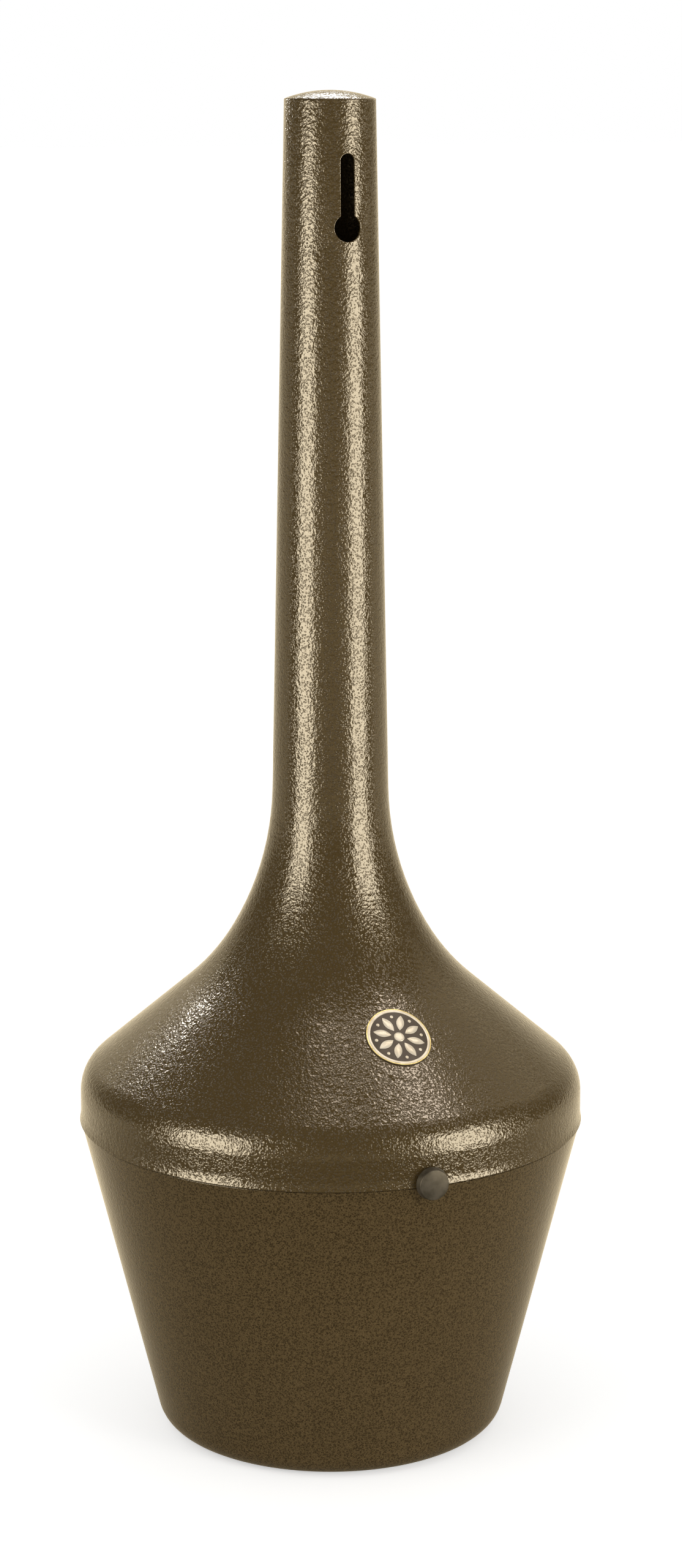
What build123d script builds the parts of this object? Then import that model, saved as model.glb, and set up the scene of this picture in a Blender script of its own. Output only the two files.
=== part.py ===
from build123d import *
import os
from math import asin, cos, degrees, hypot, radians, sin, sqrt, tan

# Free-standing ashtray bin, in millimetres.
# Origin: centre of the underside, where the bin's upright axis meets the ground.
# +Z is up and the front, with the slot, badge and clamping knob, faces -Y.

# ---- Whole object ----
OVERALL_HEIGHT = 1000.0
SHEET = 1.5                    # steel sheet of the head and the base
STEP_GAP = 0.3                 # air between faces of pieces that come apart
SNUG_GAP = 0.05                # air between faces of pieces that stay together

# ---- Base: a tapered pail with a narrower collar that the head slips over ----
BASE_FLARE = radians(14.07)    # lean of the wall out from the vertical
BASE_CORNER_RADIUS = 21.0
BASE_SHELF_HEIGHT = 239.8      # flat step that the head stands on
BASE_SHELF_RADIUS = 188.2      # where the wall's line would meet the step
BASE_SHELF_CORNER = 0.5
COLLAR_RADIUS = 184.5
COLLAR_TOP = 264.0
COLLAR_CURL_RADIUS = 2.5

# ---- Head: spun hood with a flared hem, drawn up into a long neck ----
BAND_RADIUS = 188.5
BAND_TOP = 262.8
HEM_SWEEP = radians(15.0)      # lean of the sheet at its foot, which swings outwards
HEM_SWEEP_RADIUS = 28.0
HEM_REACH = BAND_RADIUS + HEM_SWEEP_RADIUS * (1 - cos(HEM_SWEEP))
HEM_BOTTOM = BASE_SHELF_HEIGHT + STEP_GAP
HEM_EDGE_ROUNDING = 0.5
SHOULDER_RADIUS = 29.5
CONE_LEAN = radians(49.75)     # leans are measured in from the vertical
CONE_LENGTH = 89.5
LOWER_FLARE_RADIUS = 170.2
FLARE_LEAN = radians(30.23)
UPPER_FLARE_RADIUS = 218.0
NECK_LEAN = radians(1.16)
NECK_JOINT = 520.0             # where the hood's top edge meets the neck tube
NECK_SPIGOT_LENGTH = 28.0
NECK_TOP = 992.6

# ---- Cap that closes the neck ----
DOME_RADIUS = 92.0
CAP_EDGE_ROUNDING = 1.4
CAP_SPIGOT_LENGTH = 12.0

# ---- Keyhole in the neck: a cigarette slot over a round cigar hole ----
CIGAR_HOLE_RADIUS = 9.8
CIGAR_HOLE_HEIGHT = 904.0
SLOT_WIDTH = 10.5
SLOT_TOP = 956.0
KEYHOLE_EDGE_ROUNDING = 0.45

# ---- Badge bent to the hood's cone ----
BADGE_RADIUS = 24.6
BADGE_THICKNESS = 0.8
BADGE_HEIGHT = 331.9
BADGE_TURN = 1.6               # degrees round from the clamp and the slot, towards +X

# ---- Clamp: a knob on an M6 stud, screwed into a nut behind the collar ----
CLAMP_HEIGHT = 243.5
STUD_RADIUS = 3.0
THREAD_GAP = 0.1
COLLAR_HOLE_RADIUS = 3.5
NOTCH_HALF_WIDTH = 4.2         # open-bottomed notch in the hood for the stud
NUT_WIDTH = 10.0               # across the flats
NUT_LENGTH = 5.0
WASHER_RADIUS = 10.0
WASHER_HOLE_RADIUS = 3.3
WASHER_THICKNESS = 1.2
KNOB_RADIUS = 12.0
KNOB_FACE_RADIUS = 11.0
KNOB_LENGTH = 6.2
KNOB_CROWN = 1.0
KNOB_EDGE_ROUNDING = 0.8
KNOB_SOCKET_DEPTH = 4.0

# ---- Liner: a galvanised pail with a wired rim, lifted out by its bail ----
LINER_SHEET = 1.0
LINER_FOOT_RADIUS = 110.0
LINER_FOOT_HEIGHT = SHEET + STEP_GAP
LINER_FLOOR_HEIGHT = 9.8
RIM_HEIGHT = 225.0
RIM_ROLL_RADIUS = 3.0
RIM_ROLL_CENTRE = 167.0
PIVOT_HEIGHT = 210.0
EAR_SHEET = 1.4
EAR_HALF_WIDTH = 16.5
EAR_BOTTOM = 198.0
EAR_TOP = 219.5
BOSS_BASE_RADIUS = 10.0
BOSS_FACE_RADIUS = 8.2
BOSS_FACE = 170.0              # distance of the boss's face from the axis
BOSS_HOLE_RADIUS = 2.75
RIVET_SHANK_RADIUS = 1.6
RIVET_HEAD_RADIUS = 2.8
RIVET_HEAD_HEIGHT = 1.0
RIVET_OFFSET = 13.2            # sideways from the middle of the ear

# ---- Bail: a steel wire handle, folded back at rest ----
BAIL_WIRE_RADIUS = 2.25
BAIL_RADIUS = 173.8
BAIL_HEAD_RADIUS = 4.0
BAIL_HEAD_LENGTH = 1.5
BAIL_HEAD_INSET = 2.3          # behind the boss's face


# ---- Helpers for half-sections that are spun about the upright axis ----
def at(radius, height):
    """Point of a half-section."""
    return Vector(radius, 0, height)


def outward(lean):
    """Direction square to a wall that leans in by this angle as it rises."""
    return Vector(cos(lean), 0, sin(lean))


def rise(start, height, lean):
    """Straight wall from start up to a height."""
    return Line(start, at(start.X - (height - start.Z) * tan(lean), height))


def bend(start, radius, lean_from, lean_to):
    """Curved wall; a positive radius bulges outwards, a negative one is hollow."""
    centre = start - outward(lean_from) * radius
    middle = centre + outward((lean_from + lean_to) / 2) * radius
    return ThreePointArc(start, middle, centre + outward(lean_to) * radius)


def spun(*edges):
    """Solid of revolution of a closed half-section."""
    return revolve(make_face(list(edges)), Axis.Z)


def spun_polygon(*corners):
    """Solid of revolution of a straight-sided half-section of (radius, height) corners."""
    return spun(*Polyline(*[at(*corner) for corner in corners], close=True).edges())


def spun_bead(radius, height, bead_radius):
    """Ring of round section about the upright axis."""
    return revolve(Plane.XZ * Pos(radius, height) * Circle(bead_radius), Axis.Z)


def edges_at(solid, height):
    """Round edges of a spun solid at one height."""
    circles = solid.edges().filter_by(GeomType.CIRCLE)
    return circles.filter_by_position(Axis.Z, height - SNUG_GAP, height + SNUG_GAP)


# ---- Head ----
def hood_outline(inset):
    """The hood's line from hem to neck joint, set in from the outside surface."""
    foot = at(HEM_REACH, HEM_BOTTOM + SHEET * sin(HEM_SWEEP)) - outward(HEM_SWEEP) * inset
    sweep = bend(foot, -HEM_SWEEP_RADIUS - inset, HEM_SWEEP, 0)
    band = Line(sweep @ 1, at(BAND_RADIUS - inset, BAND_TOP))
    shoulder = bend(band @ 1, SHOULDER_RADIUS - inset, 0, CONE_LEAN)
    cone_top = shoulder @ 1 + Vector(-sin(CONE_LEAN), 0, cos(CONE_LEAN)) * CONE_LENGTH
    cone = Line(shoulder @ 1, cone_top)
    lower_flare = bend(cone_top, -LOWER_FLARE_RADIUS - inset, CONE_LEAN, FLARE_LEAN)
    upper_flare = bend(lower_flare @ 1, -UPPER_FLARE_RADIUS - inset, FLARE_LEAN, NECK_LEAN)
    throat = rise(upper_flare @ 1, NECK_JOINT, NECK_LEAN)
    return [sweep, band, shoulder, cone, lower_flare, upper_flare, throat]


def shell_between(inner_edges, outer_edges):
    """Thin spun wall between two lines that run side by side."""
    foot = Line(inner_edges[0] @ 0, outer_edges[0] @ 0)
    top = Line(inner_edges[-1] @ 1, outer_edges[-1] @ 1)
    return spun(*inner_edges, top, *outer_edges, foot)


NECK_FOOT = hood_outline(0)[-1] @ 0


def neck_radius(height):
    """Outside radius of the tapering neck."""
    return NECK_FOOT.X - (height - NECK_FOOT.Z) * tan(NECK_LEAN)


def front_prism(sketch, near, far):
    """A sketch in X and Z pushed through the front, between two distances from the axis."""
    return Pos(0, -near, 0) * extrude(Plane.XZ * sketch, far - near)


def hood():
    shell = shell_between(hood_outline(SHEET), hood_outline(0))
    outer_foot = hood_outline(0)[0] @ 0
    hem_edges = edges_at(shell, HEM_BOTTOM) + edges_at(shell, outer_foot.Z)
    shell = fillet(hem_edges, HEM_EDGE_ROUNDING)
    notch = Pos(0, CLAMP_HEIGHT) * Circle(NOTCH_HALF_WIDTH)
    notch += Pos(0, CLAMP_HEIGHT) * Rectangle(2 * NOTCH_HALF_WIDTH, CLAMP_HEIGHT - HEM_BOTTOM + SHEET,
                                             align=(Align.CENTER, Align.MAX))
    return shell - front_prism(notch, COLLAR_RADIUS - SHEET, HEM_REACH + SHEET)


def keyhole():
    """Round hole with a round-topped slot rising from it."""
    slot_centre = SLOT_TOP - SLOT_WIDTH / 2
    outline = Pos(0, CIGAR_HOLE_HEIGHT) * Circle(CIGAR_HOLE_RADIUS)
    outline += Pos(0, slot_centre) * Circle(SLOT_WIDTH / 2)
    outline += Pos(0, CIGAR_HOLE_HEIGHT) * Rectangle(SLOT_WIDTH, slot_centre - CIGAR_HOLE_HEIGHT,
                                                    align=(Align.CENTER, Align.MIN))
    return outline


def on_neck_skin(point):
    """Whether a point lies on the outside surface of the neck."""
    return abs(hypot(point.X, point.Y) - neck_radius(point.Z)) < SNUG_GAP


def neck_tube():
    step = SHEET + SNUG_GAP
    spigot_foot = NECK_JOINT - NECK_SPIGOT_LENGTH
    joggle = NECK_JOINT + 2 * SHEET
    tube = spun_polygon(
        (neck_radius(NECK_TOP), NECK_TOP),
        (neck_radius(NECK_JOINT), NECK_JOINT),
        (neck_radius(NECK_JOINT) - step, NECK_JOINT),
        (neck_radius(spigot_foot) - step, spigot_foot),
        (neck_radius(spigot_foot) - step - SHEET, spigot_foot),
        (neck_radius(joggle) - step - SHEET, joggle),
        (neck_radius(joggle + SHEET) - SHEET, joggle + SHEET),
        (neck_radius(NECK_TOP) - SHEET, NECK_TOP),
    )
    opened = tube - front_prism(keyhole(), 0, BAND_RADIUS)
    cut_edges = opened.edges() - tube.edges()
    outer_edges = [edge for edge in cut_edges if on_neck_skin(edge @ 0) and on_neck_skin(edge @ 1)]
    return fillet(outer_edges, KEYHOLE_EDGE_ROUNDING)


def neck_cap():
    def dome(inset, edge_radius):
        """The dome's line from its apex out to an edge radius."""
        radius = DOME_RADIUS - inset
        centre = OVERALL_HEIGHT - DOME_RADIUS
        half = edge_radius / 2
        return ThreePointArc(at(0, centre + radius), at(half, centre + sqrt(radius ** 2 - half ** 2)),
                             at(edge_radius, centre + sqrt(radius ** 2 - edge_radius ** 2)))

    edge_radius = neck_radius(NECK_TOP)
    spigot_radius = edge_radius - SHEET - SNUG_GAP
    spigot_foot = NECK_TOP - CAP_SPIGOT_LENGTH
    outside = dome(0, edge_radius)
    inside = dome(SHEET, spigot_radius - SHEET)
    walls = Polyline(outside @ 1, at(edge_radius, NECK_TOP), at(spigot_radius, NECK_TOP),
                     at(spigot_radius, spigot_foot), at(spigot_radius - SHEET, spigot_foot), inside @ 1)
    cap = spun(outside, *walls.edges(), inside, Line(inside @ 0, outside @ 0))
    return fillet(edges_at(cap, (outside @ 1).Z), CAP_EDGE_ROUNDING)


def badge():
    def cone_and_flare(inset):
        """The hood's line where the badge lies on it."""
        sweep, band, shoulder, cone, lower_flare, *above = hood_outline(inset)
        return [cone, lower_flare]

    under = cone_and_flare(-SNUG_GAP)
    over = cone_and_flare(-SNUG_GAP - BADGE_THICKNESS)
    cone = cone_and_flare(0)[0]
    along = (BADGE_HEIGHT - (cone @ 0).Z) / ((cone @ 1).Z - (cone @ 0).Z)
    centre = cone @ along
    square = (0, -cos(CONE_LEAN), sin(CONE_LEAN))
    seat = Plane(origin=(0, -centre.X, centre.Z), x_dir=(1, 0, 0), z_dir=square)
    plate = shell_between(under, over) & seat * Cylinder(BADGE_RADIUS, BADGE_RADIUS)
    return Rot(0, 0, BADGE_TURN) * plate


# ---- Base ----
def base_wall_radius(height, inset):
    """Radius of the tapered wall, set in square to its surface."""
    return BASE_SHELF_RADIUS - (BASE_SHELF_HEIGHT - height) * tan(BASE_FLARE) - inset / cos(BASE_FLARE)


def base_outline(inset, wall_top):
    """The base's line from the middle of its floor up its wall, set in from the outside."""
    corner = BASE_CORNER_RADIUS - inset
    floor_radius = base_wall_radius(BASE_CORNER_RADIUS, 0) - BASE_CORNER_RADIUS / cos(BASE_FLARE)
    centre = at(floor_radius, BASE_CORNER_RADIUS)
    flat = Line(at(0, inset), at(floor_radius, inset))
    turn = radians(90) - BASE_FLARE
    middle = centre + Vector(sin(turn / 2), 0, -cos(turn / 2)) * corner
    end = centre + Vector(sin(turn), 0, -cos(turn)) * corner
    wall = Line(end, at(base_wall_radius(wall_top, inset), wall_top))
    return [flat, ThreePointArc(flat @ 1, middle, end), wall]


def base_shell():
    shelf_underside = BASE_SHELF_HEIGHT - SHEET
    outside = base_outline(0, BASE_SHELF_HEIGHT - BASE_SHELF_CORNER * (1 + sin(BASE_FLARE)))
    inside = base_outline(SHEET, shelf_underside)
    corner = bend(outside[-1] @ 1, BASE_SHELF_CORNER, -BASE_FLARE, radians(90))
    collar_top = COLLAR_TOP - COLLAR_CURL_RADIUS
    walls = Polyline(corner @ 1, at(COLLAR_RADIUS, BASE_SHELF_HEIGHT), at(COLLAR_RADIUS, collar_top),
                     at(COLLAR_RADIUS - SHEET, collar_top), at(COLLAR_RADIUS - SHEET, shelf_underside),
                     inside[-1] @ 1)
    shell = spun(*outside, corner, *walls.edges(), *inside, Line(inside[0] @ 0, outside[0] @ 0))
    curl = spun_bead(COLLAR_RADIUS - COLLAR_CURL_RADIUS, collar_top, COLLAR_CURL_RADIUS)
    stud_hole = Pos(0, CLAMP_HEIGHT) * Circle(COLLAR_HOLE_RADIUS)
    return shell + curl - front_prism(stud_hole, COLLAR_RADIUS - 2 * SHEET, COLLAR_RADIUS + SHEET)


# ---- Clamp: everything lies on one line out through the front ----
CLAMP_LINE = Plane(origin=(0, 0, CLAMP_HEIGHT), x_dir=(1, 0, 0), z_dir=(0, -1, 0))
NUT_FACE = COLLAR_RADIUS - SHEET - THREAD_GAP
WASHER_FACE = HEM_REACH + STEP_GAP
KNOB_FACE = WASHER_FACE + WASHER_THICKNESS + SNUG_GAP


def on_clamp_line(solid, distance):
    """Stand a solid on the clamp's line, this far from the upright axis."""
    return CLAMP_LINE * Pos(0, 0, distance) * solid


def rod(radius, length):
    """Cylinder that stands on its foot."""
    return Cylinder(radius, length, align=(Align.CENTER, Align.CENTER, Align.MIN))


def taper(foot_radius, top_radius, length):
    """Cut-off cone that stands on its foot."""
    return Cone(foot_radius, top_radius, length, align=(Align.CENTER, Align.CENTER, Align.MIN))


def clamp_nut():
    hexagon = extrude(RegularPolygon(NUT_WIDTH / 2, 6, major_radius=False), NUT_LENGTH)
    return on_clamp_line(hexagon - rod(STUD_RADIUS + THREAD_GAP, NUT_LENGTH), NUT_FACE - NUT_LENGTH)


def clamp_washer():
    ring = rod(WASHER_RADIUS, WASHER_THICKNESS) - rod(WASHER_HOLE_RADIUS, WASHER_THICKNESS)
    return on_clamp_line(ring, WASHER_FACE)


def clamp_stud():
    foot = NUT_FACE - NUT_LENGTH + STEP_GAP
    stud = rod(STUD_RADIUS, KNOB_FACE + KNOB_SOCKET_DEPTH - SNUG_GAP - foot)
    return on_clamp_line(chamfer(stud.edges().sort_by(Axis.Z)[0], STUD_RADIUS / 6), foot)


def clamp_knob():
    crown_start = KNOB_LENGTH - KNOB_CROWN
    sides = Polyline(at(0, 0), at(KNOB_RADIUS, 0), at(KNOB_FACE_RADIUS, crown_start))
    crown_middle = at(KNOB_FACE_RADIUS / 2, KNOB_LENGTH - KNOB_CROWN / 4)
    crown = ThreePointArc(sides @ 1, crown_middle, at(0, KNOB_LENGTH))
    knob = spun(*sides.edges(), crown, Line(crown @ 1, sides @ 0))
    knob = fillet(edges_at(knob, crown_start), KNOB_EDGE_ROUNDING)
    return on_clamp_line(knob - rod(STUD_RADIUS + SNUG_GAP, KNOB_SOCKET_DEPTH), KNOB_FACE)


# ---- Liner ----
def liner_radius(height, inset):
    """Radius of the liner's wall; a negative inset lies outside it."""
    return LINER_FOOT_RADIUS + (height - LINER_FOOT_HEIGHT) * tan(BASE_FLARE) - inset / cos(BASE_FLARE)


def liner_band(foot, top, inner_inset, outer_inset):
    """Tapered ring that follows the liner's wall."""
    return spun_polygon((liner_radius(foot, outer_inset), foot), (liner_radius(top, outer_inset), top),
                        (liner_radius(top, inner_inset), top), (liner_radius(foot, inner_inset), foot))


def rivet_seats():
    """Planes square to the liner's wall, one at each rivet."""
    seats = []
    height = (EAR_BOTTOM + EAR_TOP) / 2
    radius = liner_radius(height, 0)
    swing = degrees(asin(RIVET_OFFSET / radius))
    for middle in (0, 180):
        for azimuth in (radians(middle - swing), radians(middle + swing)):
            sideways = Vector(cos(azimuth), sin(azimuth), 0)
            around = Vector(-sin(azimuth), cos(azimuth), 0)
            square = sideways * cos(BASE_FLARE) - Vector(0, 0, sin(BASE_FLARE))
            spot = sideways * radius + Vector(0, 0, height)
            seats.append(Plane(origin=spot, x_dir=around, z_dir=square))
    return seats


def rivet_holes():
    length = 4 * EAR_SHEET
    hole = Pos(0, 0, -length / 2) * rod(RIVET_SHANK_RADIUS + SNUG_GAP, length)
    return [seat * hole for seat in rivet_seats()]


def liner_wall():
    wall = liner_band(LINER_FOOT_HEIGHT, RIM_HEIGHT, LINER_SHEET, 0)
    roll = spun_bead(RIM_ROLL_CENTRE, RIM_HEIGHT, RIM_ROLL_RADIUS)
    hollow = spun_bead(RIM_ROLL_CENTRE, RIM_HEIGHT, RIM_ROLL_RADIUS - LINER_SHEET)
    return wall + roll - hollow - rivet_holes()


def liner_rim_wire():
    return spun_bead(RIM_ROLL_CENTRE, RIM_HEIGHT, RIM_ROLL_RADIUS - LINER_SHEET - SNUG_GAP)


def liner_bottom():
    skin = LINER_SHEET + SNUG_GAP
    flange = skin + LINER_SHEET
    floor_underside = LINER_FLOOR_HEIGHT - LINER_SHEET
    return spun_polygon(
        (0, LINER_FLOOR_HEIGHT),
        (liner_radius(LINER_FLOOR_HEIGHT, skin), LINER_FLOOR_HEIGHT),
        (liner_radius(LINER_FOOT_HEIGHT, skin), LINER_FOOT_HEIGHT),
        (liner_radius(LINER_FOOT_HEIGHT, flange), LINER_FOOT_HEIGHT),
        (liner_radius(floor_underside, flange), floor_underside),
        (0, floor_underside),
    )


def liner_ear_right():
    plate = liner_band(EAR_BOTTOM, EAR_TOP, -SNUG_GAP, -SNUG_GAP - EAR_SHEET)
    frame = Pos(LINER_FOOT_RADIUS, 0, EAR_BOTTOM) * Box(BOSS_FACE, 2 * EAR_HALF_WIDTH, EAR_TOP - EAR_BOTTOM,
                                                       align=(Align.MIN, Align.CENTER, Align.MIN))
    boss_foot = liner_radius(PIVOT_HEIGHT - BOSS_BASE_RADIUS, 0)
    boss_length = BOSS_FACE - boss_foot
    pivot_line = Plane(origin=(boss_foot, 0, PIVOT_HEIGHT), x_dir=(0, 1, 0), z_dir=(1, 0, 0))
    boss = taper(BOSS_BASE_RADIUS, BOSS_FACE_RADIUS, boss_length)
    boss = fillet(boss.edges().sort_by(Axis.Z)[-1], EAR_SHEET / 2)
    hollow = taper(BOSS_BASE_RADIUS - EAR_SHEET, BOSS_FACE_RADIUS - EAR_SHEET, boss_length - EAR_SHEET)
    inside_liner = spun_polygon((0, 0), (liner_radius(0, -SNUG_GAP), 0),
                                (liner_radius(RIM_HEIGHT, -SNUG_GAP), RIM_HEIGHT), (0, RIM_HEIGHT))
    ear = (plate & frame) + (pivot_line * boss - inside_liner)
    ear -= pivot_line * hollow + pivot_line * rod(BOSS_HOLE_RADIUS, boss_length)
    return ear - rivet_holes()


def liner_ear_left():
    return mirror(liner_ear_right(), Plane.YZ)


def ear_rivets():
    """Four rivets, each a shank with a low head outside the ear and a tail inside the wall."""
    outer_face = SNUG_GAP + EAR_SHEET + SNUG_GAP
    inner_face = LINER_SHEET + SNUG_GAP
    shank = Pos(0, 0, -inner_face) * rod(RIVET_SHANK_RADIUS, inner_face + outer_face)
    head = Pos(0, 0, outer_face) * rod(RIVET_HEAD_RADIUS, RIVET_HEAD_HEIGHT)
    head = fillet(head.edges().sort_by(Axis.Z)[-1], RIVET_HEAD_HEIGHT / 2)
    tail = Pos(0, 0, -inner_face - RIVET_HEAD_HEIGHT) * rod(RIVET_HEAD_RADIUS, RIVET_HEAD_HEIGHT)
    return Compound([(seat * (shank + head + tail)).solid() for seat in rivet_seats()])


# ---- Bail ----
def bail():
    hoop = revolve(Plane.XZ * Pos(BAIL_RADIUS, PIVOT_HEIGHT) * Circle(BAIL_WIRE_RADIUS), Axis.Z, 180)
    head_face = BOSS_FACE - BAIL_HEAD_INSET
    for side in (1, -1):
        outwards = Plane(origin=(0, 0, PIVOT_HEIGHT), x_dir=(0, 1, 0), z_dir=(side, 0, 0))
        pin = Pos(0, 0, head_face) * rod(BAIL_WIRE_RADIUS, BAIL_RADIUS - head_face)
        upset = Pos(0, 0, head_face - BAIL_HEAD_LENGTH) * rod(BAIL_HEAD_RADIUS, BAIL_HEAD_LENGTH)
        elbow = Pos(0, 0, BAIL_RADIUS) * Sphere(BAIL_WIRE_RADIUS)
        hoop += outwards * (pin + upset + elbow)
    return hoop


NODES = {
    "hood": hood,
    "neck_tube": neck_tube,
    "neck_cap": neck_cap,
    "badge": badge,
    "base_shell": base_shell,
    "clamp_nut": clamp_nut,
    "clamp_washer": clamp_washer,
    "clamp_stud": clamp_stud,
    "clamp_knob": clamp_knob,
    "liner_wall": liner_wall,
    "liner_bottom": liner_bottom,
    "liner_rim_wire": liner_rim_wire,
    "liner_ear_right": liner_ear_right,
    "liner_ear_left": liner_ear_left,
    "ear_rivets": ear_rivets,
    "bail": bail,
}

os.makedirs("parts", exist_ok=True)
for name, build in NODES.items():
    export_step(build(), f"parts/{name}.step")
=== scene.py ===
from math import cos, pi, radians, sin

import bmesh
import bpy
from mathutils import Matrix, Vector
from mathutils.bvhtree import BVHTree


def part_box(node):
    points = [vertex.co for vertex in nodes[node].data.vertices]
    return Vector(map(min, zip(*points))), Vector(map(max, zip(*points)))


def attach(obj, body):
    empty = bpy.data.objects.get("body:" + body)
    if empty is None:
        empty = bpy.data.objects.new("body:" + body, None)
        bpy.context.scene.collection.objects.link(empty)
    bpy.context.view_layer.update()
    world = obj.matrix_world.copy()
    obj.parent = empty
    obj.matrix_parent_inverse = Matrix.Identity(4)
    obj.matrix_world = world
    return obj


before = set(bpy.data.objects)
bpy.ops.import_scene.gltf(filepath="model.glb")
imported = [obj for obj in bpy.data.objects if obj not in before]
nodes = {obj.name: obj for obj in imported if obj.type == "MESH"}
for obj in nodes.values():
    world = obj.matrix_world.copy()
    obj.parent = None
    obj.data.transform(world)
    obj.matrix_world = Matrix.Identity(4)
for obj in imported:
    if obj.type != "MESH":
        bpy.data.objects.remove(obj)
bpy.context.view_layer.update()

MM = 0.001

# ---- Shape facts shared with the solids ----
CONE_LEAN = radians(49.75)           # the hood's cone, in from the vertical
BADGE_RADIUS = 24.6 * MM
BADGE_TURN = radians(1.6)            # round from the front towards +X
THREAD_PITCH = 1.0 * MM              # of the clamp's stud, which lies along Y

# ---- Camera: where the bin is seen from ----
VIEW_TURN = radians(22)              # round from the front towards -X
EYE_DISTANCE = 2.5011                # level distance from the bin's upright axis
EYE_HEIGHT = 1.0169
VIEW_DIP = radians(11.79)            # down from level
VIEW_PAN = radians(0.18)             # to the right of the bin's axis
LENS = 79.03                         # in millimetres, as the sensor is
SENSOR_WIDTH = 36

# ---- Light levels and colours ----
AMBIENT = 0.62                       # even light from all round
DARK_ROOM = 0.15                     # strength of the room outside the backdrop, in reflections
BACKDROP_EDGE = 0.58                 # cosine of the angle from straight behind the bin to that room
FLOOR_GLOW = 0.52                    # strength at which the floor shows itself white
WATTS = 4                            # lamp power for each unit of radiance and square metre
WHITE = (1.0, 1.0, 1.0)
WARM_GLOSS = (1.0, 0.9, 0.71)        # colour of the softboxes
OVERHEAD_GLOSS = (1.0, 0.87, 0.75)
SPARK_GLOSS = (1.0, 0.93, 0.84)      # colour of the small lamp behind the bin
ROOM_GLOSS = (1.0, 0.84, 0.57)       # colour of the backdrop and floor in reflections

# ---- Hammered coat: places in pore spacings, depths as shares of the bump ----
PORE_SPACING = 1.6 * MM
PORE_FLOOR, PORE_RIM = 0.15, 0.6     # distances from a pore's middle between which its side rises
PORE_STIR = 0.9                      # how far pores are pushed off their even places
PORE_DEPTH = 0.18
RIPPLE_DEPTH = 0.78
PORE_PAINTED_SHADE = 0.25                    # weight of the pores' painted shade in the colour, next to the grain's 1
CLOUD_SHADE = 0.06                   # weight of the broad clouds in it
GRAIN_GLOSS = 0.1                    # weight of the grain in the roughness
EDGE_ON = (0.4, 0.9)                 # facing values between which the coat grows glossier
EDGE_ON_ROUGHNESS = 0.2              # share of the roughness that is left at the second one

# ---- Badge relief: lengths across it as shares of its radius, heights from its face ----
RELIEF_FOOT = -0.1 * MM              # raised pieces reach this far into the face
RELIEF_ROUNDING = 0.07 * MM
PETALS = 8
PETAL_MIDDLE, PETAL_REACH, PETAL_HALF_WIDTH = 0.51, 0.27, 0.12
PETAL_HEIGHT = 0.2 * MM
STUD_DISTANCE, STUD_RADIUS, STUD_HEIGHT = 0.72, 0.05, 0.22 * MM
BOSS_RADIUS, BOSS_HEIGHT = 0.16, 0.4 * MM
SMOOTH_ANGLE = radians(35)           # edges sharper than this stay crisp
WELD_DISTANCE = 0.001 * MM


# ------------------------------------------------------------------ nodes
def node(tree, kind, out=0, ins=None, **settings):
    """One shader node with its settings and inputs; returns the output asked for, or all for None."""
    made = tree.nodes.new("ShaderNode" + kind)
    for name, value in settings.items():
        setattr(made, name, value)
    for socket, value in (ins or {}).items():
        if isinstance(value, bpy.types.NodeSocket):
            tree.links.new(value, made.inputs[socket])
        else:
            made.inputs[socket].default_value = value
    return made.outputs if out is None else made.outputs[out]


def object_place(tree):
    """Where a point of the surface is, in metres in the bin's own frame."""
    return node(tree, "TexCoord", out="Object")


def maths(tree, operation, a, b=0.0, c=0.0):
    return node(tree, "Math", ins={0: a, 1: b, 2: c}, operation=operation)


def vector_maths(tree, operation, a, b, out=0):
    return node(tree, "VectorMath", out=out, ins={0: a, 1: b}, operation=operation)


def scaled(tree, vector, factor):
    return node(tree, "VectorMath", ins={0: vector, "Scale": factor}, operation="SCALE")


def fade(tree, value, low, high=1.0, to_low=0.0):
    """Straight-line rise of a value to 1 between two levels."""
    return node(tree, "MapRange", ins={"Value": value, "From Min": low, "From Max": high, "To Min": to_low})


def ramp(tree, value, low, high, to_low=0.0, to_high=1.0):
    """Smooth step of a value between two levels."""
    return node(tree, "MapRange", ins={"Value": value, "From Min": low, "From Max": high, "To Min": to_low,
                                       "To Max": to_high}, interpolation_type="SMOOTHSTEP")


def mix_values(tree, share, a, b):
    """Blend of two numbers. A Mix node holds its number sockets at 2 and 3."""
    return node(tree, "Mix", ins={0: share, 2: a, 3: b}, data_type="FLOAT")


def mix_colours(tree, share, a, b):
    """Blend of two colours. A Mix node holds its colour sockets at 6 and 7, and the result at 2."""
    return node(tree, "Mix", out=2, ins={0: share, 6: a, 7: b}, data_type="RGBA")


def noise(tree, place, scale, detail=2.0, roughness=0.5, out=0):
    return node(tree, "TexNoise", out=out, ins={"Vector": place, "Scale": scale, "Detail": detail,
                                                "Roughness": roughness})


def stirred(tree, place, scale, detail, reach):
    """Places pushed about by a noise, so that a pattern laid on them isn't even."""
    push = vector_maths(tree, "SUBTRACT", noise(tree, place, scale, detail, out="Color"), (0.5, 0.5, 0.5))
    return vector_maths(tree, "ADD", place, scaled(tree, push, reach))


def new_group(name, inputs, outputs):
    """Empty shader node group with named sockets; returns the tree and its two ends."""
    tree = bpy.data.node_groups.new(name, "ShaderNodeTree")
    kinds = {"value": "NodeSocketFloat", "colour": "NodeSocketColor"}
    for way, sockets in (("INPUT", inputs), ("OUTPUT", outputs)):
        for socket, kind in sockets.items():
            tree.interface.new_socket(name=socket, in_out=way, socket_type=kinds[kind])
    return tree, tree.nodes.new("NodeGroupInput").outputs, tree.nodes.new("NodeGroupOutput").inputs


def use_group(tree, group, **values):
    """A group placed in a material; returns its outputs."""
    made = tree.nodes.new("ShaderNodeGroup")
    made.node_tree = group
    for socket, value in values.items():
        made.inputs[socket].default_value = value
    return made.outputs


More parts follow.
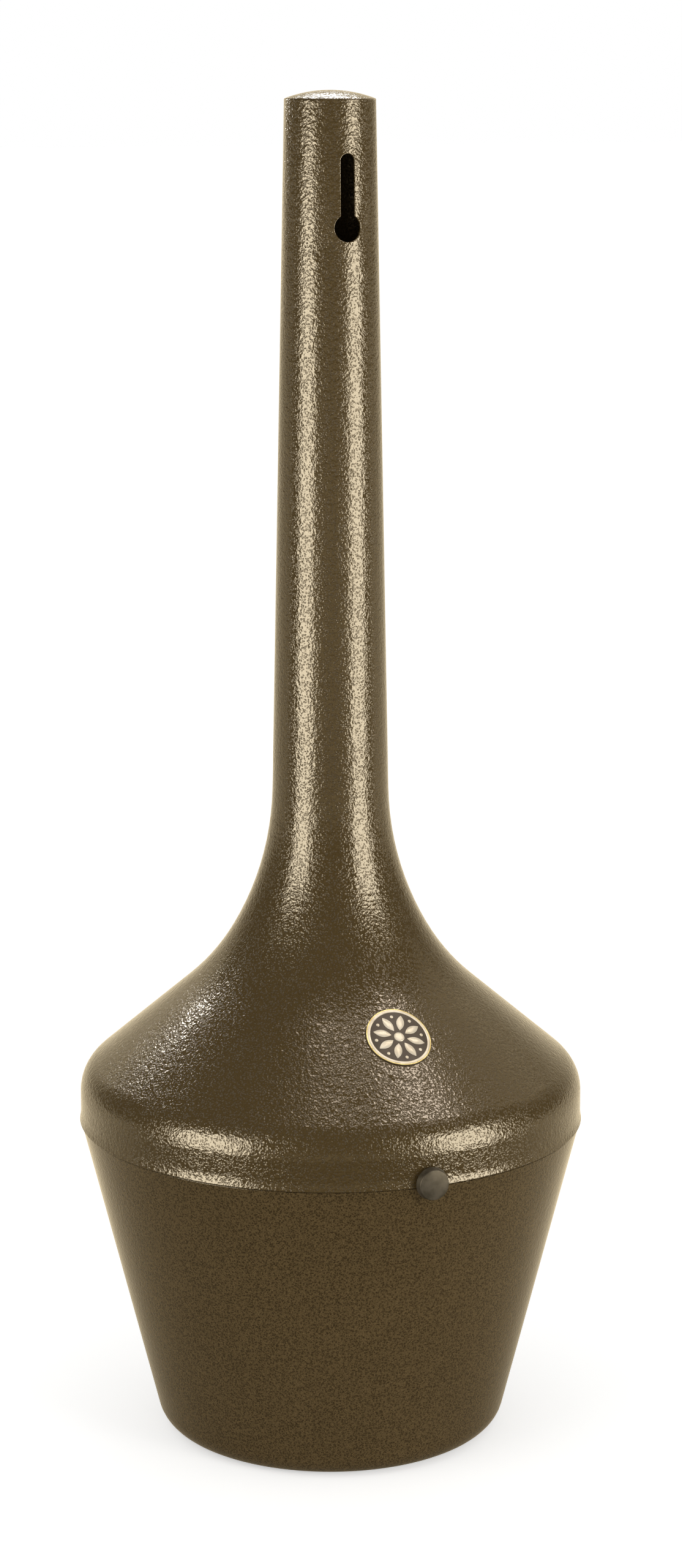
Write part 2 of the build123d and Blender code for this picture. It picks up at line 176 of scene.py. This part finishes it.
def material(name, **constants):
    """Material with a Principled shader whose constants are set on its own sockets."""
    made = bpy.data.materials.new(name)
    made.use_nodes = True
    shader = made.node_tree.nodes["Principled BSDF"]
    for socket, value in constants.items():
        shader.inputs[socket.replace("_", " ")].default_value = value
    return made, made.node_tree, shader


def finish_material(tree, shader, colour, roughness, height, depth):
    """Joins what the nodes give to the shader, with the height through one bump."""
    bump = node(tree, "Bump", ins={"Height": height, "Distance": depth, "Strength": 1.0})
    for socket, value in (("Base Color", colour), ("Roughness", roughness), ("Normal", bump)):
        tree.links.new(value, shader.inputs[socket])


# ------------------------------------------------------------------ finishes
def hammered_group():
    """Hammered powder coat: small dull pores in a glossier skin that ripples softly.

    The colour goes from Deep to Raised with a random grain and broad clouds, and the pores pull it towards
    Deep as painted shade. The roughness is about Gloss between the pores, and Dull more than that in them.
    """
    tree, given, result = new_group(
        "hammered_coat",
        {"Spacing": "value", "Deep": "colour", "Raised": "colour", "Gloss": "value", "Dull": "value"},
        {"Colour": "colour", "Roughness": "value", "Height": "value"})
    place = object_place(tree)
    in_spacings = scaled(tree, place, maths(tree, "DIVIDE", 1.0, given["Spacing"]))
    pores_at = stirred(tree, in_spacings, scale=0.8, detail=1.0, reach=PORE_STIR)
    from_pore = node(tree, "TexVoronoi", ins={"Vector": pores_at, "Scale": 1.0})
    skin = ramp(tree, from_pore, PORE_FLOOR, PORE_RIM)
    pore = maths(tree, "SUBTRACT", 1.0, skin)
    ripple = noise(tree, in_spacings, scale=0.5, detail=1.5, roughness=0.6)
    height = maths(tree, "MULTIPLY_ADD", skin, PORE_DEPTH, maths(tree, "MULTIPLY", ripple, RIPPLE_DEPTH))
    cloud = noise(tree, place, scale=26.0, detail=3.0)
    grain = noise(tree, in_spacings, scale=3.4)
    tone_and_painted_shade = maths(tree, "MULTIPLY_ADD", cloud, CLOUD_SHADE, grain)
    # Painted shade: the pores pull the colour towards Deep.
    tone_and_painted_shade = ramp(tree, maths(tree, "MULTIPLY_ADD", skin, PORE_PAINTED_SHADE, tone_and_painted_shade), low=0.45, high=1.2)
    colour = mix_colours(tree, tone_and_painted_shade, given["Deep"], given["Raised"])
    roughness = maths(tree, "MULTIPLY_ADD", maths(tree, "SUBTRACT", grain, 0.5), GRAIN_GLOSS, given["Gloss"])
    roughness = maths(tree, "MULTIPLY_ADD", pore, given["Dull"], roughness)
    for socket, value in (("Colour", colour), ("Roughness", roughness), ("Height", height)):
        tree.links.new(value, result[socket])
    return tree


HAMMERED = hammered_group()


def coat(name, deep, raised, gloss, dull, depth, shine):
    """A hammered coat, glossier where it is seen edge-on and its pores sink out of sight."""
    made, tree, shader = material(name, Specular_IOR_Level=shine, Specular_Tint=(1, 0.96, 0.88, 1))
    got = use_group(tree, HAMMERED, Spacing=PORE_SPACING, Deep=deep, Raised=raised, Gloss=gloss, Dull=dull)
    facing = node(tree, "LayerWeight", out="Facing", ins={"Blend": 0.5})
    share = ramp(tree, facing, *EDGE_ON, to_low=1.0, to_high=EDGE_ON_ROUGHNESS)
    roughness = maths(tree, "MULTIPLY", got["Roughness"], share)
    finish_material(tree, shader, got["Colour"], roughness, got["Height"], depth)
    return made


def grained_finish(name, dark, light, cloud_scale, grain_scale, rough, depth, grain_span=(0.3, 0.7),
                   thread_pitch=None, **constants):
    """Clouded colour with a fine grain in its gloss and bump, and a thread along Y where a pitch is given.

    The roughness goes from one end of rough to the other as the grain crosses its span.
    """
    made, tree, shader = material(name, **constants)
    place = object_place(tree)
    cloud = noise(tree, place, cloud_scale, detail=3.0)
    grain = noise(tree, place, grain_scale)
    colour = mix_colours(tree, ramp(tree, cloud, low=0.3, high=0.7), dark, light)
    height = grain
    if thread_pitch:
        along = node(tree, "SeparateXYZ", out="Y", ins={"Vector": place})
        turns = maths(tree, "PINGPONG", maths(tree, "DIVIDE", along, thread_pitch), 0.5)
        height, depth = maths(tree, "MULTIPLY_ADD", grain, 0.05, turns), thread_pitch
    finish_material(tree, shader, colour, ramp(tree, grain, *grain_span, *rough), height, depth)
    return made


def zinc_finish(name, **thread):
    """Bright zinc plate on wire and fasteners."""
    return grained_finish(name, (0.30, 0.31, 0.315, 1), (0.43, 0.44, 0.45, 1), cloud_scale=220,
                          grain_scale=2600, rough=(0.34, 0.48), depth=0.02 * MM, grain_span=(0.2, 0.8),
                          Metallic=1.0, **thread)


def badge_finish(name, dark, light, rough, **constants):
    """Enamel or metal of the badge."""
    return grained_finish(name, dark, light, cloud_scale=140, grain_scale=2000, rough=rough,
                          depth=0.01 * MM, **constants)


def galvanised_finish():
    """Hot-dipped zinc: flat crystals of uneven shade, with dark seams and a fine frost."""
    made, tree, shader = material("galvanised_spangle", Metallic=1.0)
    place = object_place(tree)
    crystals = {"Vector": stirred(tree, place, scale=60.0, detail=2.0, reach=8 * MM), "Scale": 95.0}
    shade = node(tree, "SeparateColor", ins={"Color": node(tree, "TexVoronoi", out="Color", ins=crystals)})
    from_seam = node(tree, "TexVoronoi", out="Distance", ins=crystals, feature="DISTANCE_TO_EDGE")
    seam = ramp(tree, from_seam, low=0.0, high=0.05, to_low=0.35, to_high=0.0)
    frost = noise(tree, place, scale=900.0, detail=3.0)
    colour = mix_colours(tree, shade, (0.27, 0.285, 0.30, 1), (0.42, 0.435, 0.445, 1))
    colour = mix_colours(tree, seam, colour, (0.20, 0.21, 0.225, 1))
    roughness = ramp(tree, frost, low=0.3, high=0.7, to_low=0.42, to_high=0.54)
    roughness = maths(tree, "MULTIPLY_ADD", shade, 0.18, roughness)
    height = maths(tree, "MULTIPLY_ADD", frost, 0.3, shade)
    finish_material(tree, shader, colour, roughness, height, depth=0.04 * MM)
    return made


HEAD_COAT = coat("bronze_hammered", deep=(0.054, 0.033, 0.010, 1), raised=(0.112, 0.073, 0.027, 1),
                 gloss=0.11, dull=0.4, depth=0.55 * MM, shine=0.5)
# Second copy of the same bronze coat for the base. Its colours are retuned from the hood's for how light
# falls on the base, which is painted light; its stronger mottling is the coat's own grain.
BASE_COAT = coat("bronze_hammered_base", deep=(0.034, 0.021, 0.007, 1), raised=(0.218, 0.147, 0.065, 1),
                 gloss=0.1, dull=0.12, depth=0.32 * MM, shine=0.24)
KNOB_SATIN = grained_finish("knob_satin", (0.034, 0.027, 0.016, 1), (0.074, 0.060, 0.041, 1),
                            cloud_scale=160, grain_scale=1500, rough=(0.42, 0.55), depth=0.03 * MM,
                            Specular_IOR_Level=0.3, Specular_Tint=(1, 0.93, 0.78, 1))
GALVANISED = galvanised_finish()
ZINC = zinc_finish("zinc_plated")
ZINC_THREAD = zinc_finish("zinc_plated_thread", thread_pitch=THREAD_PITCH)
BADGE_FIELD = badge_finish("badge_brown_enamel", (0.056, 0.038, 0.022, 1), (0.080, 0.057, 0.036, 1),
                           rough=(0.32, 0.44), Specular_IOR_Level=0.2)
BADGE_CREAM = badge_finish("badge_cream_enamel", (0.60, 0.52, 0.38, 1), (0.74, 0.66, 0.52, 1),
                           rough=(0.3, 0.42), Metallic=0.15)
BADGE_GOLD = badge_finish("badge_gold_edge", (0.34, 0.27, 0.10, 1), (0.55, 0.47, 0.22, 1),
                          rough=(0.3, 0.42), Metallic=0.8)

for finish, cad_names in {
    HEAD_COAT: ("hood", "neck_tube", "neck_cap"),
    BASE_COAT: ("base_shell",),
    BADGE_FIELD: ("badge",),
    KNOB_SATIN: ("clamp_knob",),
    ZINC_THREAD: ("clamp_stud",),
    ZINC: ("clamp_nut", "clamp_washer", "liner_rim_wire", "ear_rivets", "bail"),
    GALVANISED: ("liner_wall", "liner_bottom", "liner_ear_right", "liner_ear_left"),
}.items():
    for cad_name in cad_names:
        for material_slot in nodes[cad_name].material_slots:
            material_slot.material = finish


# ------------------------------------------------------------------ badge relief
badge_low, badge_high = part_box("badge")
badge_centre = (badge_low + badge_high) / 2
badge_out = Vector((sin(BADGE_TURN) * cos(CONE_LEAN), -cos(BADGE_TURN) * cos(CONE_LEAN), sin(CONE_LEAN)))
badge_side = Vector((cos(BADGE_TURN), sin(BADGE_TURN), 0))
badge_up = badge_out.cross(badge_side)
badge_skin = BVHTree.FromPolygons([corner.co for corner in nodes["badge"].data.vertices],
                                  [tuple(face.vertices) for face in nodes["badge"].data.polygons])


def finished_piece(name, shape, finish, body):
    """Turns a shape into a piece of the model that rides on a body."""
    bmesh.ops.remove_doubles(shape, verts=shape.verts, dist=WELD_DISTANCE)
    bmesh.ops.recalc_face_normals(shape, faces=shape.faces)
    mesh = bpy.data.meshes.new(name)
    shape.to_mesh(mesh)
    shape.free()
    mesh.shade_smooth()
    mesh.set_sharp_from_angle(angle=SMOOTH_ANGLE)
    mesh.materials.append(finish)
    piece = bpy.data.objects.new(name, mesh)
    bpy.context.scene.collection.objects.link(piece)
    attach(piece, body)


def lay_on_badge(shape):
    """Bends flat relief to the badge: x runs across it, y up the slope and z out from its face."""
    clear_of_face = badge_out * 5 * MM
    for corner in shape.verts:
        spot = badge_centre + badge_side * corner.co.x + badge_up * corner.co.y + clear_of_face
        face = badge_skin.ray_cast(spot, -badge_out)[0]
        corner.co = face + badge_out * corner.co.z


def soften_top(shape):
    """Rounds the upper edges of a raised flat shape, where its top meets a side."""
    shape.normal_update()
    just_below_top = max(corner.co.z for corner in shape.verts) - 0.01 * MM
    rims = [edge for edge in shape.edges if all(end.co.z > just_below_top for end in edge.verts)
            and any(face.normal.z < 0.5 for face in edge.link_faces)]
    bmesh.ops.bevel(shape, geom=rims, offset=RELIEF_ROUNDING, segments=2, profile=0.5, affect="EDGES",
                    material=-1)


def badge_ring(name, inner, outer, high, finish):
    """Raised round band, its edges given as shares of the badge's radius."""
    shape = bmesh.new()
    section = (inner, RELIEF_FOOT), (outer, RELIEF_FOOT), (outer, high), (inner, high)
    corners = [shape.verts.new((share * BADGE_RADIUS, 0, height)) for share, height in section]
    outline = [shape.edges.new((corners[i], corners[i - 1])) for i in range(4)]
    bmesh.ops.spin(shape, geom=corners + outline, cent=(0, 0, 0), axis=(0, 0, 1), angle=2 * pi, steps=120,
                   use_merge=True)
    bmesh.ops.recalc_face_normals(shape, faces=shape.faces)
    soften_top(shape)
    lay_on_badge(shape)
    finished_piece(name, shape, finish, "head")


def badge_stud(shape, distance, radius, height):
    """Low round stud on the badge's upright line."""
    made = bmesh.ops.create_uvsphere(shape, u_segments=24, v_segments=12, radius=radius)
    bmesh.ops.scale(shape, verts=made["verts"], vec=(1, 1, height / radius))
    bmesh.ops.translate(shape, verts=made["verts"], vec=(0, distance, 0))


def badge_rosette():
    """Pointed petals round a boss, with a stud between each two."""
    shape = bmesh.new()
    bmesh.ops.create_cone(shape, cap_ends=True, segments=40, radius1=1, radius2=1,
                          depth=PETAL_HEIGHT - RELIEF_FOOT)
    for corner in shape.verts:
        across, along, out = corner.co
        corner.co = (PETAL_HALF_WIDTH * BADGE_RADIUS * across * abs(across),
                     (PETAL_MIDDLE + PETAL_REACH * along) * BADGE_RADIUS,
                     out + (PETAL_HEIGHT + RELIEF_FOOT) / 2)
    soften_top(shape)
    bmesh.ops.rotate(shape, verts=shape.verts, cent=(0, 0, 0), matrix=Matrix.Rotation(pi / PETALS, 3, "Z"))
    badge_stud(shape, STUD_DISTANCE * BADGE_RADIUS, STUD_RADIUS * BADGE_RADIUS, STUD_HEIGHT)
    copies = PETALS - 1
    bmesh.ops.spin(shape, geom=shape.verts[:] + shape.edges[:] + shape.faces[:], cent=(0, 0, 0),
                   axis=(0, 0, 1), angle=2 * pi * copies / PETALS, steps=copies, use_duplicate=True)
    badge_stud(shape, 0, BOSS_RADIUS * BADGE_RADIUS, BOSS_HEIGHT)
    lay_on_badge(shape)
    finished_piece("badge_rosette", shape, BADGE_CREAM, "head")


badge_ring("badge_cream_ring", inner=0.872, outer=0.956, high=0.2 * MM, finish=BADGE_CREAM)
badge_ring("badge_gold_ring", inner=0.95, outer=0.99, high=0.12 * MM, finish=BADGE_GOLD)
badge_rosette()


# ------------------------------------------------------------------ camera
def towards(turn, rise=0.0):
    """Unit vector at an angle round from the camera's side of the bin, and up from the ground."""
    azimuth = turn - VIEW_TURN
    return Vector((sin(azimuth) * cos(rise), -cos(azimuth) * cos(rise), sin(rise)))


camera_data = bpy.data.cameras.new("camera")
camera_data.lens = LENS
camera_data.sensor_width = SENSOR_WIDTH
camera_data.clip_start = 0.05
camera_data.clip_end = 50
camera = bpy.data.objects.new("camera", camera_data)
bpy.context.scene.collection.objects.link(camera)
camera.location = towards(0) * EYE_DISTANCE + Vector((0, 0, EYE_HEIGHT))
camera.rotation_euler = (pi / 2 - VIEW_DIP, 0, -VIEW_TURN - VIEW_PAN)
bpy.context.scene.camera = camera


# ------------------------------------------------------------------ lights
MIDDLE = Vector((0, 0, 0.55))
HOOD_MIDDLE = Vector((0, 0, 0.3))
NECK_TOP = Vector((0, 0, 1.0))
CONE_LEFT = towards(radians(-61)) * 0.113 + Vector((0, 0, 0.35))    # a spot on the hood's cone


def lamp(name, turn, rise, distance, width, height, radiance, colour=WHITE, aim=MIDDLE, gloss_only=True):
    """Rectangular lamp that faces the bin, its turn and rise in degrees.

    A gloss-only lamp gives reflections and no general light. Any other gives light and no reflections.
    """
    data = bpy.data.lights.new(name, "AREA")
    data.shape = "RECTANGLE"
    data.size = width
    data.size_y = height
    data.energy = radiance * WATTS * width * height
    data.color = colour
    made = bpy.data.objects.new(name, data)
    bpy.context.scene.collection.objects.link(made)
    made.location = aim + towards(radians(turn), radians(rise)) * distance
    made.rotation_euler = (aim - made.location).to_track_quat("-Z", "Y").to_euler()
    made.visible_camera = False
    made.visible_diffuse = not gloss_only
    made.visible_glossy = gloss_only


lamp("softbox_left", -52.5, -0.8, distance=1.5, width=0.85, height=0.98, radiance=12.8, colour=WARM_GLOSS)
lamp("softbox_right", 59.5, 0, distance=1.5, width=0.85, height=1.06, radiance=12.2, colour=WARM_GLOSS)
lamp("overhead_right", 90, 63, distance=1.8, width=0.36, height=0.7, radiance=11.5, colour=OVERHEAD_GLOSS)
lamp("overhead", 20, 88, distance=1.8, width=0.46, height=0.46, radiance=7.0, colour=OVERHEAD_GLOSS)
lamp("back_left", -139, 32.5, distance=1.6, width=0.15, height=0.15, radiance=44, colour=SPARK_GLOSS,
     aim=CONE_LEFT)
lamp("back_top", 181.5, 35.5, distance=2.0, width=0.63, height=0.31, radiance=9, aim=NECK_TOP)
lamp("panel_right", 138, 42, distance=2.0, width=1.8, height=1.3, radiance=0.62, colour=ROOM_GLOSS,
     aim=HOOD_MIDDLE)
lamp("panel_left", -148, 24, distance=2.0, width=1.1, height=0.8, radiance=0.45, colour=ROOM_GLOSS,
     aim=HOOD_MIDDLE)
lamp("fill_left", -50, 30, distance=2.4, width=1.6, height=1.6, radiance=0.85, gloss_only=False)
lamp("fill_right", 47, 6, distance=2.4, width=0.8, height=0.8, radiance=5.2, gloss_only=False)


# ------------------------------------------------------------------ world and floor
def set_world():
    """Even light all round. Seen, it is white; mirrored, it is a backdrop behind the bin in a dark room."""
    world = bpy.data.worlds.new("studio")
    bpy.context.scene.world = world
    world.use_nodes = True
    tree = world.node_tree
    background = tree.nodes["Background"]
    path = node(tree, "LightPath", out=None)
    direction = node(tree, "TexCoord", out="Generated")
    away = vector_maths(tree, "DOT_PRODUCT", direction, tuple(-towards(0)), out="Value")
    backdrop = fade(tree, away, BACKDROP_EDGE, to_low=DARK_ROOM)
    seen = maths(tree, "MAXIMUM", path["Is Camera Ray"], path["Is Transmission Ray"])
    level = mix_values(tree, path["Is Glossy Ray"], AMBIENT, backdrop)
    tree.links.new(mix_values(tree, seen, level, 1.0), background.inputs["Strength"])
    colour = mix_colours(tree, path["Is Glossy Ray"], (*WHITE, 1), (*ROOM_GLOSS, 1))
    tree.links.new(colour, background.inputs["Color"])


def set_floor():
    """Pale floor that reads white but keeps the bin's shadow. In reflections it carries a painted shade,
    dark close to the bin.
    """
    mesh = bpy.data.meshes.new("floor")
    grid = bmesh.new()
    bmesh.ops.create_grid(grid, x_segments=8, y_segments=8, size=40.0)
    grid.to_mesh(mesh)
    grid.free()
    floor = bpy.data.objects.new("floor", mesh)
    bpy.context.scene.collection.objects.link(floor)
    made, tree, shader = material("floor_paper", Roughness=0.9, Specular_IOR_Level=0.1)
    place = object_place(tree)
    fibre = noise(tree, place, scale=400.0)
    paper = mix_colours(tree, fibre, (0.84, 0.84, 0.83, 1), (0.87, 0.87, 0.86, 1))
    path = node(tree, "LightPath", out=None)
    behind_bin = vector_maths(tree, "DOT_PRODUCT", place, tuple(-towards(0)), out="Value")
    # The levels are metres behind the bin's axis, and those below 0 lie on the camera's side of it.
    # Painted shade on the floor in reflections: dark close to the bin, lighter far ahead of it and behind
    # it.
    lit_ahead = fade(tree, behind_bin, low=-0.8, high=-3.4)
    lit_behind = fade(tree, behind_bin, low=-0.4, high=0.5, to_low=0.03)
    mirrored = scaled(tree, ROOM_GLOSS, maths(tree, "MAXIMUM", lit_ahead, lit_behind))
    tint = mix_colours(tree, path["Is Glossy Ray"], (*WHITE, 1), mirrored)
    tree.links.new(vector_maths(tree, "MULTIPLY", paper, tint), shader.inputs["Base Color"])
    tree.links.new(tint, shader.inputs["Emission Color"])
    seen = maths(tree, "MAXIMUM", path["Is Camera Ray"], path["Is Transmission Ray"])
    glow = maths(tree, "MULTIPLY", maths(tree, "MAXIMUM", seen, path["Is Glossy Ray"]), FLOOR_GLOW)
    tree.links.new(glow, shader.inputs["Emission Strength"])
    mesh.materials.append(made)


set_world()
set_floor()

bpy.context.scene.view_settings.view_transform = "Standard"
